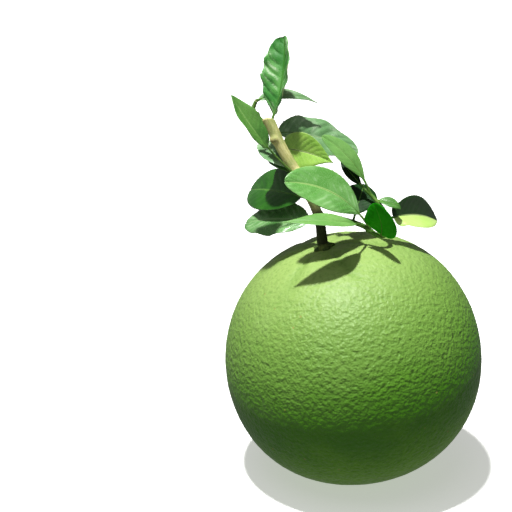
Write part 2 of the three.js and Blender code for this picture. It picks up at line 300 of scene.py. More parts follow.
# peel: pebbles about two and a half millimetres apart, with pits between them and pale oil glands
peelTable = {
    "pebble": 2.6, "gland": 1.1, "relief": 1.5, "fleckSpacing": 12.0, "crownColorAndSheen": (160, 190, 104),
    "flankColor": (114, 160, 62), "deepGreenAndShade": (72, 138, 6), "footColorAndUplight": (124, 190, 14),
    "pitShadeColor": (84, 134, 34), "crownGland": (184, 212, 136), "lowGland": (116, 176, 36),
    "scarColor": (122, 104, 56), "fleckColor": (168, 156, 84),
}


def makePeel():
    t = peelTable
    material, tree, shader = newMaterial("pebbledPeel", Roughness=0.42, Specular_IOR_Level=0.34,
                                         Coat_Weight=0.06, Coat_Roughness=0.4)
    place = objectPlace(tree)
    swell = noise(place, 1 / (t["pebble"] * mm), 1.5, 0.55)
    pebble = cells(place, 1 / (t["pebble"] * mm), "SMOOTH_F1")
    gland = cells(place + (0.013, 0.007, 0.021), 1 / (t["gland"] * mm))
    fleck = cells(place, 1 / (t["fleckSpacing"] * mm))
    mottle = useGroup(tree, mottleGroup, {"Vector": place, "Blotch": 30.0, "Grain": 420.0, "Contrast": 1.0})
    fromStem = attribute(tree, "fromStem")
    uneven = (mottle["Shade"] - 0.5) * 0.35
    # the colour steps from crown to foot are partly the peel's own tone and partly painted light: the paler crown
    # is partly painted sheen, the darker band low on the flank is partly painted shade, and the lighter foot is
    # partly painted light from below
    ground = mixed(rise(fromStem + uneven, 0.2, 1.3), paint(*t["crownColorAndSheen"]), paint(*t["flankColor"]))
    ground = mixed(rise(fromStem + uneven, 1.15, 1.7), ground, paint(*t["deepGreenAndShade"]))
    ground = mixed(rise(fromStem + uneven, 1.75, 2.4), ground, paint(*t["footColorAndUplight"]))
    glandColor = mixed(rise(fromStem, 0.8, 1.5), paint(*t["crownGland"]), paint(*t["lowGland"]))
    ground = mixed(rise(mottle["Shade"], 0.4, 0.9, 0.0, 0.22), ground, glandColor)
    # painted shade: the low spots of the pebbles are painted darker, as shade in the hollows
    low = rise(swell, 0.5, 0.3) * 0.3
    ground = mixed(low, ground, paint(*t["pitShadeColor"]))
    ground = mixed(rise(gland, 0.32, 0.08, 0.0, 0.2), ground, glandColor)
    # painted shade: the furrows round the stem are painted darker
    ground = mixed(attribute(tree, "furrow") * 0.3, ground, paint(*t["pitShadeColor"]))
    ground = mixed(rise(fleck, 0.075, 0.03, 0.0, 0.7), ground, paint(*t["fleckColor"]))
    ground = mixed(rise(fromStem, 3.04, 3.09), ground, paint(*t["scarColor"]))
    plug(tree, shader.inputs["Base Color"], ground)
    plug(tree, shader.inputs["Roughness"], rise(swell, 0.3, 0.7, 0.56, 0.44) + (mottle["Fine"] - 0.5) * 0.1)
    depth = rise(fromStem, 0.15, 1.3, 0.45, 1.0)
    height = (swell - pebble * 0.35 - rise(gland, 0.35, 0.05, 0.0, 0.08)) * depth
    bumped(tree, shader, height, 1.0, t["relief"] * mm)
    return material


peel = makePeel()
print("peel mixed")

# The fruit: a sphere shaped by distance from the stem, as the solid is
fruitTable = {
    "diameter": 160.0, "restDiameter": 34.0, "stemAxis": (-0.254, -0.025, 0.967), "crownFlat": 3.0,
    "crownFlatSpread": 0.6, "dimple": 1.8, "dimpleSpread": 0.17, "fullness": 1.8, "fullnessAt": 2.2,
    "fullnessSpread": 0.5, "furrows": 6, "furrowDepth": 0.9, "furrowFrom": 0.1, "furrowTo": 0.62,
    "furrowTurn": 0.7, "scarDepth": 1.0, "scarSpread": 0.1, "lump": 0.6, "lumpWaves": 3,
    "lumpTurn": 1.0, "broadLump": 0.6, "dent": 0.17, "dentSize": 5.0, "pebble": 0.1, "pebbleSize": 2.5,
    "across": 126,
}
fruitRadius = fruitTable["diameter"] / 2
fruitCentre = Vector((0, 0, math.sqrt(fruitRadius ** 2 - (fruitTable["restDiameter"] / 2) ** 2)))
stemAxis = Vector(fruitTable["stemAxis"]).normalized()
stemSide = (Vector((1, 0, 0)) - stemAxis * stemAxis.x).normalized()
stemBack = stemAxis.cross(stemSide)


def makeFruit():
    t = fruitTable
    tree, given = newTree("fruitSkin", {
        "Radius": fruitRadius * mm, "Centre Height": fruitCentre.z * mm, "Crown Flat": t["crownFlat"] * mm,
        "Dimple": t["dimple"] * mm, "Fullness": t["fullness"] * mm, "Furrow Depth": t["furrowDepth"] * mm,
        "Scar Depth": t["scarDepth"] * mm, "Lump": t["lump"] * mm, "Dent": t["dent"] * mm,
        "Dent Size": t["dentSize"] * mm, "Pebble": t["pebble"] * mm, "Pebble Size": t["pebbleSize"] * mm,
        "Across": 4, "Seed": float(tidySeed)})
    vertices = given["Across"]
    cube = addNode(tree, "GeometryNodeMeshCube", {"Size": (2.0, 2.0, 2.0), "Vertices X": vertices,
                                                   "Vertices Y": vertices, "Vertices Z": vertices})
    corner = Wire(tree, addNode(tree, "GeometryNodeInputPosition").outputs[0])
    even = [(p * (math.pi / 4)).scalar("TANGENT") for p in parts(corner)]  # spreads the faces evenly
    direction = unit(joined(tree, *even))
    fromStem = dot(direction, tuple(stemAxis)).scalar("ARCCOSINE")
    turn = dot(direction, tuple(stemBack)).scalar("ARCTAN2", dot(direction, tuple(stemSide)))
    share = least(most((fromStem - t["furrowFrom"]) / (t["furrowTo"] - t["furrowFrom"]), 0.0), 1.0)
    furrow = most(cosine(turn * float(t["furrows"]) + t["furrowTurn"]), 0.0) ** 3.0 * sine(share * math.pi)
    high = sine(turn * float(t["lumpWaves"]) + t["lumpTurn"]) * sine(fromStem * 2.0)
    broad = sine(turn * 2.0) * sine(fromStem) * t["broadLump"]
    broadly = direction * (given["Radius"] / given["Dent Size"])
    finely = direction * (given["Radius"] / given["Pebble Size"])
    pebbles = (noise(finely, 1.0, 0.0, 0.5, given["Seed"]) - 0.5) * 2.0 * given["Pebble"]
    dents = ((noise(broadly, 1.0, 1.5, 0.5, given["Seed"]) - 0.5) * 2.0 * given["Dent"]
             + pebbles * rise(fromStem, 0.2, 1.3, 0.4, 1.0))
    reach = (given["Radius"] - given["Crown Flat"] * bell(fromStem, t["crownFlatSpread"])
             - given["Dimple"] * bell(fromStem, t["dimpleSpread"])
             + given["Fullness"] * bell(fromStem - t["fullnessAt"], t["fullnessSpread"])
             - given["Furrow Depth"] * furrow
             - given["Scar Depth"] * bell(math.pi - fromStem, t["scarSpread"])
             + given["Lump"] * (high + broad) * sine(fromStem) + dents)
    x, y, z = parts(direction * reach + joined(tree, 0.0, 0.0, given["Centre Height"]))
    settled = joined(tree, x, y, most(z, 0.0))  # level where the fruit rests
    skin = chain(tree, "GeometryNodeSetPosition", cube.outputs["Mesh"], {"Position": settled})
    # the cube's own corners are gone by now, so what the peel needs is worked out again from the place
    place = Wire(tree, addNode(tree, "GeometryNodeInputPosition").outputs[0])
    outward = unit(place - joined(tree, 0.0, 0.0, given["Centre Height"]))
    away = dot(outward, tuple(stemAxis)).scalar("ARCCOSINE")
    around = dot(outward, tuple(stemBack)).scalar("ARCTAN2", dot(outward, tuple(stemSide)))
    inFurrow = (most(cosine(around * float(t["furrows"]) + t["furrowTurn"]), 0.0) ** 3.0
                * rise(away, 0.08, 0.25) * rise(away, 0.75, 0.4))
    skin = keepValue(tree, skin, "fromStem", away)
    skin = keepValue(tree, skin, "furrow", inFurrow)
    finishTree(tree, skin, given["Material"])
    return grow("pomeloFruit", tree, {"Across": t["across"] + 1, "Material": peel})


fruit = makeFruit()
dress(fruit, "peel", "fruit")
print("fruit grown:", len(fruit.data.polygons), "faces")


def skinRadius(direction):
    # the same form as the tree's, for what stands on the skin
    t = fruitTable
    curve = lambda x, spread: math.exp(-((x / spread) ** 2))
    fromStem = direction.angle(stemAxis, 0.0)
    turn = math.atan2(direction.dot(stemBack), direction.dot(stemSide))
    share = min(max((fromStem - t["furrowFrom"]) / (t["furrowTo"] - t["furrowFrom"]), 0), 1)
    furrow = max(0, math.cos(t["furrows"] * turn + t["furrowTurn"])) ** 3 * math.sin(math.pi * share)
    lump = (math.sin(t["lumpWaves"] * turn + t["lumpTurn"]) * math.sin(2 * fromStem)
            + t["broadLump"] * math.sin(2 * turn) * math.sin(fromStem))
    return (fruitRadius - t["crownFlat"] * curve(fromStem, t["crownFlatSpread"])
            - t["dimple"] * curve(fromStem, t["dimpleSpread"])
            + t["fullness"] * curve(fromStem - t["fullnessAt"], t["fullnessSpread"])
            - t["furrowDepth"] * furrow
            - t["scarDepth"] * curve(math.pi - fromStem, t["scarSpread"])
            + t["lump"] * lump * math.sin(fromStem))


# Bark, green shoot and calyx finishes
barkTable = {
    "twigBark": {"ground": (234, 228, 160), "streak": (204, 200, 122), "stain": (140, 176, 84),
                 "pore": (96, 84, 48), "base": (12, 32, 12), "stainAmount": 0.5, "roughness": 0.72},
    "greenShoot": {"ground": (96, 142, 56), "streak": (66, 108, 38), "stain": (140, 176, 88),
                   "pore": (58, 84, 34), "base": (52, 86, 32), "stainAmount": 0.4, "roughness": 0.5},
}
cutWood = {"pale": (222, 214, 168), "ring": (192, 178, 118), "pith": (150, 128, 78), "rings": 34.0}


def makeBark(name):
    t = barkTable[name]
    material, tree, shader = newMaterial(name, Roughness=t["roughness"], Specular_IOR_Level=0.22)
    place = objectPlace(tree)
    along, around = attribute(tree, "along"), attribute(tree, "around")
    streakPlace = joined(tree, along * 1.5, sine(around) * 0.5, cosine(around) * 0.5)
    streak = noise(streakPlace, 9.0, 4.0, 0.65)
    mottle = useGroup(tree, mottleGroup, {"Vector": place, "Blotch": 110.0, "Grain": 1500.0, "Contrast": 1.0})
    ground = mixed(rise(streak, 0.4, 0.65), paint(*t["ground"]), paint(*t["streak"]))
    ground = mixed(rise(mottle["Shade"], 0.45, 0.75, 0.0, t["stainAmount"]), ground, paint(*t["stain"]))
    ground = mixed(attribute(tree, "knob") * 0.55, ground, paint(*t["pore"]))
    # the cut end: pale wood rings round a soft pith
    cut = attribute(tree, "cutEnd")
    ring = sine(attribute(tree, "inward") * cutWood["rings"]) * 0.5 + 0.5
    wood = mixed(ring, paint(*cutWood["pale"]), paint(*cutWood["ring"]))
    wood = mixed(rise(attribute(tree, "inward"), 0.3, 0.12), wood, paint(*cutWood["pith"]))
    ground = mixed(cut, ground, wood)
    # low on the stem the colour goes dark green where it leaves the fruit: partly the wood's own colour, partly
    # painted shade from the leaves above
    lowStemDarkAndShade = rise(along, 0.42, 0.2)
    ground = mixed(lowStemDarkAndShade * 0.95, ground, paint(*t["base"]))
    plug(tree, shader.inputs["Base Color"], ground)
    plug(tree, shader.inputs["Roughness"], (mottle["Fine"] - 0.5) * 0.3 + t["roughness"])
    bumped(tree, shader, streak * 0.6 + mottle["Fine"] * 0.4, 0.5, 0.3 * mm)
    return material


bark, greenShoot = makeBark("twigBark"), makeBark("greenShoot")


# Twigs: each follows its path, with the radius given along it
fineSteps = 60  # between two points of a path


def pathPoints(points, count):
    # evenly spaced points on a centripetal curve through the given ones
    points = [Vector(p) for p in points]
    before, after = 2 * points[0] - points[1], 2 * points[-1] - points[-2]
    padded = [before, *points, after]
    fine = []
    for i in range(1, len(padded) - 2):
        p0, p1, p2, p3 = padded[i - 1:i + 3]
        d0, d1, d2 = (max((b - a).length ** 0.5, 1e-4) for a, b in ((p0, p1), (p1, p2), (p2, p3)))
        t1 = ((p1 - p0) / d0 - (p2 - p0) / (d0 + d1) + (p2 - p1) / d1) * d1
        t2 = ((p2 - p1) / d1 - (p3 - p1) / (d1 + d2) + (p3 - p2) / d2) * d1
        squared, cubed = 3 * p2 - 3 * p1 - 2 * t1 - t2, 2 * p1 - 2 * p2 + t1 + t2
        for k in range(fineSteps):
            t = k / fineSteps
            fine.append(p1 + t1 * t + squared * t * t + cubed * t ** 3)
    fine.append(points[-1])
    lengths = [0.0]
    for a, b in zip(fine, fine[1:]):
        lengths.append(lengths[-1] + (b - a).length)
    found, k = [], 0
    for i in range(count):
        want = lengths[-1] * i / (count - 1)
        while k < len(fine) - 2 and lengths[k + 1] < want:
            k += 1
        part = (want - lengths[k]) / max(lengths[k + 1] - lengths[k], 1e-9)
        found.append(fine[k].lerp(fine[k + 1], min(max(part, 0), 1)))
    return found


def onPath(points, share):
    place = share * (len(points) - 1)
    low = min(int(place), len(points) - 2)
    return points[low].lerp(points[low + 1], place - low)


calyxTable = {"radius": 6.2, "lobe": 0.9, "lobes": 5, "height": 3.2, "gap": 0.3, "sides": 120}
seat = stemAxis * skinRadius(stemAxis)
stemBase = tuple(seat + stemAxis * (calyxTable["height"] + calyxTable["gap"]))
twigTable = {
    "branch": {
        "path": [stemBase, (-21, -2.5, 84.8), (-23.2, -2, 94.8), (-28.7, 0, 106.3), (-36.3, 3, 119.2),
                 (-45.1, 6, 133.4), (-52.7, 9, 149.3)],
        "radii": [3.29, 3.01, 2.88, 3.01, 3.22, 3.41, 3.47], "knobs": [0.2, 0.4, 0.57, 0.69, 0.86],
        "knob": 1.8, "ridge": 0.16, "pores": 1.6, "sides": 40, "steps": 190, "from": 0.0, "cut": 0.9,
        "material": bark,
    },
    "shoot_right": {
        "start": ("branch", 0.2),
        "path": [(-9.1, -5, 92), (-1.4, -8, 90.8), (5.8, -10, 88.3), (11.7, -12, 84.5), (16.7, -11, 83.5),
                 (19.2, -8, 87.3), (18.1, -5, 93.9), (14.5, -2, 99.9), (10.4, 1, 104), (6.2, 3, 107.8)],
        "radii": [2, 1.6, 1.5, 1.5, 1.45, 1.4, 1.3, 1.2, 1], "knobs": [0.18, 0.42, 0.64, 0.8], "knob": 1.3,
        "ridge": 0.07, "pores": 0.5, "sides": 24, "steps": 180, "from": 0.02, "cut": 0.1,
        "material": greenShoot,
    },
    "shoot_top": {
        "start": ("branch", 0.93),
        "path": [(-58.7, 13, 150.1), (-62, 14, 155.4), (-60.5, 14, 160.4)],
        "radii": [1.9, 1.5, 1.3, 1.1], "knobs": [0.6], "knob": 1.3,
        "ridge": 0.07, "pores": 0.5, "sides": 24, "steps": 60, "from": 0.05, "cut": 0.1,
        "material": greenShoot,
    },
}


def makeTwig(name):
    t = twigTable[name]
    tree, given = newTree(name + "Bark", {
        "Knob Radius": t["knob"] * mm, "Ridge": t["ridge"] * mm, "Sides": t["sides"], "Pore Density": 0.0,
        "Cut Slope": t["cut"], "Cut At": 1.0, "Seed": float(tidySeed)})
    line = chain(tree, "GeometryNodeMeshToCurve", given["Geometry"])
    heading = Wire(tree, addNode(tree, "GeometryNodeInputTangent").outputs[0])
    place = Wire(tree, addNode(tree, "GeometryNodeInputPosition").outputs[0])
    line = keepValue(tree, line, "heading", heading, "FLOAT_VECTOR")
    line = keepValue(tree, line, "core", place, "FLOAT_VECTOR")

    def named(label, kind="FLOAT"):
        made = addNode(tree, "GeometryNodeInputNamedAttribute", {"Name": label}, data_type=kind)
        return Wire(tree, made.outputs[0])

    ring = addNode(tree, "GeometryNodeCurvePrimitiveCircle", {"Resolution": given["Sides"], "Radius": 1.0})
    tube = addNode(tree, "GeometryNodeCurveToMesh", {"Curve": line, "Profile Curve": ring.outputs[0],
                                                      "Scale": named("thick"), "Fill Caps": True})
    heading, core = named("heading", "FLOAT_VECTOR"), named("core", "FLOAT_VECTOR")
    along, bare = named("along"), named("bare")
    upright = unit(joined(tree, 0.0, 0.0, 1.0) - heading * dot(heading, (0.0, 0.0, 1.0)))
    beside = cross(heading, upright)
    outward = place - core
    radial = unit(outward)
    around = dot(radial, beside).scalar("ARCTAN2", dot(radial, upright))
    fibre = noise(joined(tree, along * 6.0, sine(around), cosine(around)), 2.2, 4.0, 0.6, given["Seed"])
    lift = (sine(around * 5.0 + along * 7.0) * 0.5 + (fibre - 0.5) * 3.0) * given["Ridge"]
    knobMask = None
    length = t["length"] * mm
    for i, share in enumerate(t["knobs"]):
        turn = 1 + 2.4 * i
        away = cosine(around - turn) * -1.0 + 1.0  # 0 on the knob's side, 2 behind it
        one = bell((along - share) * length, given["Knob Radius"] * 1.05) * bell(away, 0.42)
        knobMask = one if knobMask is None else most(knobMask, one)
    lift = lift + knobMask * given["Knob Radius"] * 0.75
    slope = dot(outward, tuple(Vector((-0.6, -0.7, 0.3)).normalized())) * given["Cut Slope"]
    oblique = heading * (slope * rise(along, 0.985, 1.0))
    moved = radial * (lift * bare) + oblique
    skin = chain(tree, "GeometryNodeSetPosition", tube.outputs[0], {"Offset": moved})
    skin = keepValue(tree, skin, "around", around)
    skin = keepValue(tree, skin, "knob", rise(knobMask, 0.35, 0.95))
    # pores: raised specks scattered on the bark
    scatter = addNode(tree, "GeometryNodeDistributePointsOnFaces",
                      {"Mesh": skin, "Density": given["Pore Density"], "Seed": tidySeed})
    speck = addNode(tree, "GeometryNodeMeshIcoSphere", {"Radius": 0.26 * mm, "Subdivisions": 1})
    spread = addNode(tree, "GeometryNodeInstanceOnPoints", {
        "Points": scatter.outputs["Points"], "Instance": speck.outputs[0],
        "Rotation": scatter.outputs["Rotation"], "Scale": (1.0, 1.6, 0.45)})
    both = addNode(tree, "GeometryNodeJoinGeometry")
    plug(tree, both.inputs[0], skin)
    plug(tree, both.inputs[0], spread.outputs[0])
    finishTree(tree, both.outputs[0], given["Material"])
    # the host: a line of points that carries what the tree needs at each
    count = t["steps"]
    places = t["points"]
    shares = [t["from"] + (1 - t["from"]) * i / count for i in range(count + 1)]
    rows = [(onPath(places, s), s, 1.0, 0.0, 1.0) for s in shares]
    last, aim = places[-1], (places[-1] - places[-2]).normalized()
    for inset in (0.94, 0.86, 0.72, 0.58, 0.44, 0.3, 0.16, 0.04):
        rows.append((last + aim * (0.02 + 0.1 * (1 - inset)), 1.0, inset, 1.0, 0.0))
    thick = []
    for _, share, inset, _, _ in rows:
        place = share * (len(t["radii"]) - 1)
        low = min(int(place), len(t["radii"]) - 2)
        thick.append((t["radii"][low] + (t["radii"][low + 1] - t["radii"][low]) * (place - low)) * inset * mm)
    path = bpy.data.meshes.new(name + ".path")
    edges = [(i, i + 1) for i in range(len(rows) - 1)]
    path.from_pydata([tuple((row[0] + fruitCentre) * mm) for row in rows], edges, [])
    labels = ("along", "inward", "cutEnd", "bare")
    columns = {label: [row[i + 1] for row in rows] for i, label in enumerate(labels)}
    columns["thick"] = thick
    for label, values in columns.items():
        path.attributes.new(label, "FLOAT", "POINT").data.foreach_set("value", values)
    host = bpy.data.objects.new(name + ".host", path)
    return grow("pomelo" + name.title().replace("_", ""), tree,
                {"Pore Density": t["pores"] / (6 * mm) ** 2, "Material": t["material"]}, host)


for name, t in twigTable.items():
    if "start" in t:
        t["path"] = [tuple(onPath(twigTable[t["start"][0]]["points"], t["start"][1]))] + t["path"]
    t["points"] = pathPoints(t["path"], 240)
    t["length"] = sum((b - a).length for a, b in zip(t["points"], t["points"][1:]))
twigs = {name: makeTwig(name) for name in twigTable}
dress(twigs["branch"], "bark", "branch")
dress(twigs["shoot_right"], "shoot", "shoot_right")
dress(twigs["shoot_top"], "shoot", "shoot_top")
print("twigs grown")


def meshFrom(name, rings, first, last, material):
    # a closed skin through rings of points, with a point at each end
    sides = len(rings[0])
    points = [first] + [p for ring in rings for p in ring] + [last]
    faces = []
    for s in range(sides):
        n = (s + 1) % sides
        faces.append((0, 1 + n, 1 + s))
        top = 1 + (len(rings) - 1) * sides
        faces.append((len(points) - 1, top + s, top + n))
        for r in range(len(rings) - 1):
            a = 1 + r * sides
            faces.append((a + s, a + n, a + sides + n, a + sides + s))
    mesh = bpy.data.meshes.new(name)
    mesh.from_pydata([tuple((p + fruitCentre) * mm) for p in points], [], faces)
    mesh.polygons.foreach_set("use_smooth", [True] * len(mesh.polygons))
    mesh.materials.append(material)
    mesh.update()
    piece = bpy.data.objects.new(name, mesh)
    bpy.context.scene.collection.objects.link(piece)
    return piece


def makeCalyx():
    t = calyxTable
    material, tree, shader = newMaterial("calyxGreen", Roughness=0.7, Specular_IOR_Level=0.3)
    place = objectPlace(tree)
    mottle = useGroup(tree, mottleGroup, {"Vector": place, "Blotch": 300.0, "Grain": 2200.0, "Contrast": 1.2})
    ground = mixed(rise(mottle["Shade"], 0.3, 0.75), paint(58, 84, 34), paint(112, 126, 62))
    plug(tree, shader.inputs["Base Color"], ground)
    bumped(tree, shader, mottle["Fine"], 0.6, 0.3 * mm)
    profile = [(0.9, -1.6), (0.97, -0.5), (1, 0.2), (0.99, 0.7), (0.95, 1.1), (0.86, 1.45), (0.76, 1.7),
               (0.66, 2.0), (0.59, 2.4), (0.55, 2.8), (0.53, t["height"]), (0.5, t["height"] + 0.25)]
    rings = []
    for share, height in profile:
        ring = []
        for s in range(t["sides"]):
            turn = 2 * math.pi * s / t["sides"]
            lobe = t["lobe"] * max(0, (share - 0.5) * 2) * (0.5 + 0.5 * math.cos(t["lobes"] * turn)) ** 0.7
            crease = 0.12 * math.cos(t["lobes"] * 4 * turn + 3 * height)
            reach = t["radius"] * share + 2 * lobe - t["lobe"] * share + crease
            out = stemSide * math.cos(turn) + stemBack * math.sin(turn)
            ring.append(seat + stemAxis * height + out * reach)
        rings.append(ring)
    ends = [seat + stemAxis * h for h in (profile[0][1], profile[-1][1])]
    return meshFrom("pomeloCalyx", rings, *ends, material)


calyx = makeCalyx()
dress(calyx, "shoot", "calyx")
print("calyx made")

# Leaves: the figure of veins is one group, and each finish has colours of its own
figureGroup, given, leave = newGroup(
    "leafFigure", {"Leaf Place": None, "Vein Pairs": 9.0, "Vein Width": 0.12},
    ("Midrib", "Veins", "Margin", "Net", "Swell"))
u, v, _ = parts(given["Leaf Place"])
fromRib = size(v - 0.5) * 2.0
drift = (noise(given["Leaf Place"], 5.0, 2.0, 0.5) - 0.5) * 0.07
strength = noise(given["Leaf Place"] + (3.1, 0.0, 0.0), 7.0, 1.0, 0.5)
line = (u + drift - fromRib * 0.22 - fromRib * fromRib * 0.06) * given["Vein Pairs"]
line = line + (v - 0.5).scalar("SIGN") * 0.22  # so that the two sides' veins don't quite meet
nearest = size(line.scalar("FRACT") - 0.5) * 2.0  # 1 on a vein, 0 midway between two
vein = rise(nearest, 1.0 - given["Vein Width"], 1.0) * rise(fromRib, 0.9, 0.35)
vein = vein * rise(strength, 0.3, 0.6, 0.35, 1.0)
swell = rise(nearest, 0.55, 0.1) * rise(fromRib, 0.08, 0.25) * rise(fromRib, 0.95, 0.6)
plug(figureGroup, leave.inputs["Midrib"], rise(fromRib, 0.07, 0.025))
plug(figureGroup, leave.inputs["Swell"], swell)
plug(figureGroup, leave.inputs["Veins"], vein)
plug(figureGroup, leave.inputs["Margin"], rise(fromRib, 0.93, 0.99))
net = cells(joined(figureGroup, u * 3.0, v, 0.0), 22.0, "DISTANCE_TO_EDGE")
plug(figureGroup, leave.inputs["Net"], rise(net, 0.1, 0.0))

paintedHighlightColor = (214, 234, 198)  # painted highlight: a pale colour on a blade's swellings, standing in for glossy reflections
leafFinishes = {
    "matureLeaf": {"ground": (104, 160, 72), "deep": (70, 130, 48), "vein": (160, 200, 122),
                   "under": (112, 152, 84), "rough": 0.38, "coat": 0.25, "lines": 0.16},
    # crownLeaf: the dark vein colour is painted shade in the sunk vein grooves
    "crownLeaf": {"ground": (116, 184, 96), "deep": (60, 138, 54), "vein": (58, 130, 40),
                  "under": (206, 220, 140), "rough": 0.3, "coat": 0.5, "lines": 0.6, "paintedHighlight": 0.75},
    "glossyLeaf": {"ground": (130, 190, 106), "deep": (98, 164, 74), "vein": (184, 222, 134),
                   "under": (132, 172, 104), "rough": 0.27, "coat": 0.5, "lines": 0.14, "paintedHighlight": 0.22},
    "satinLeaf": {"ground": (116, 172, 98), "deep": (72, 136, 58), "vein": (170, 206, 150),
                  "under": (120, 160, 92), "rough": 0.33, "coat": 0.4, "lines": 0.12, "net": 0.4,
                  "paintedHighlight": 0.3},
    "shadedLeaf": {"ground": (52, 118, 30), "deep": (34, 94, 18), "vein": (96, 152, 66),
                   "under": (84, 130, 56), "rough": 0.34, "coat": 0.3, "lines": 0.14},
    "youngLeaf": {"ground": (164, 210, 92), "deep": (126, 182, 62), "vein": (226, 240, 170),
                  "under": (150, 188, 96), "rough": 0.36, "coat": 0.25, "lines": 0.4},
    # one half of this blade is painted near black-green as a cast shadow
    "halfShadowLimeLeaf": {"ground": (206, 244, 134), "deep": (196, 238, 116), "vein": (226, 248, 168),
                 "under": (150, 188, 96), "rough": 0.4, "coat": 0.2, "lines": 0.14,
                 "paintedShadowHalf": (30, 72, 16)},
    "paleLeaf": {"ground": (126, 180, 92), "deep": (104, 162, 74), "vein": (160, 204, 128),
                 "under": (116, 158, 90), "rough": 0.5, "coat": 0.05, "lines": 0.12},
    "greyLeaf": {"ground": (156, 196, 146), "deep": (108, 158, 98), "vein": (176, 206, 160),
                 "under": (126, 162, 110), "rough": 0.34, "coat": 0.35, "lines": 0.14, "paintedHighlight": 0.55},
    "deepLeaf": {"ground": (36, 166, 8), "deep": (28, 148, 6), "vein": (50, 172, 20),
                 "under": (30, 140, 8), "rough": 0.6, "coat": 0.0, "lines": 0.06, "shine": 0.12},
    # a dark copy of a leaf green: painted shade for leaves that sit in shadow
    "paintedShadeLeaf": {"ground": (20, 66, 14), "deep": (12, 48, 8), "vein": (40, 88, 30),
                 "under": (16, 52, 10), "rough": 0.55, "coat": 0.0, "lines": 0.1, "shine": 0.2},
}


def makeLeafMaterial(name):
    t = leafFinishes[name]
    material, tree, shader = newMaterial(name, Roughness=t["rough"], Specular_IOR_Level=t.get("shine", 0.5),
                                         Coat_Weight=t["coat"], Coat_Roughness=0.22)
    place = objectPlace(tree)
    leafPlace = Wire(tree, addNode(tree, "ShaderNodeUVMap", uv_map="leafPlace").outputs[0])
    figure = useGroup(tree, figureGroup, {"Leaf Place": leafPlace, "Vein Pairs": 9.0, "Vein Width": 0.1})
    mottle = useGroup(tree, mottleGroup, {"Vector": place, "Blotch": 70.0, "Grain": 1300.0, "Contrast": 1.0})
    under = attribute(tree, "underside")
    ground = mixed(rise(mottle["Shade"], 0.3, 0.75), paint(*t["deep"]), paint(*t["ground"]))
    ground = mixed(figure["Net"] * t.get("net", 0.08), ground, paint(*t["vein"]))
    patch = rise(mottle["Shade"], 0.42, 0.72)
    # painted highlight: the swellings are painted pale where the mottle is high
    ground = mixed(figure["Swell"] * patch * t.get("paintedHighlight", 0.0), ground, paint(*paintedHighlightColor))
    ground = mixed(figure["Veins"] * t["lines"], ground, paint(*t["vein"]))
    ground = mixed(figure["Margin"] * 0.35, ground, paint(*t["vein"]))
    # painted shadow: the half of the blade on one side of the midrib is painted dark
    if "paintedShadowHalf" in t:
        ground = mixed(rise(parts(leafPlace)[1], 0.51, 0.49), ground, paint(*t["paintedShadowHalf"]))
    beneath = mixed(figure["Veins"] * 0.4, paint(*t["under"]), paint(*t["vein"]))
    beneath = mixed(rise(mottle["Shade"], 0.35, 0.8, 0.0, 0.3), beneath, paint(*t["ground"]))
    ground = mixed(under, ground, beneath)
    ground = mixed(figure["Midrib"] * 0.75, ground, paint(*t["vein"]))
    plug(tree, shader.inputs["Base Color"], ground)
    roughness = (mottle["Fine"] - 0.5) * 0.16 - patch * 0.1 + t["rough"] + under * 0.25
    plug(tree, shader.inputs["Roughness"], roughness)
    bumped(tree, shader, figure["Veins"] * -0.5 + figure["Net"] * -0.15 + mottle["Fine"] * 0.12, 0.5, 0.2 * mm)
    return material


leafMaterials = {name: makeLeafMaterial(name) for name in leafFinishes}
petioleGreen = makeBark("greenShoot")
petioleGreen.name = "petioleGreen"

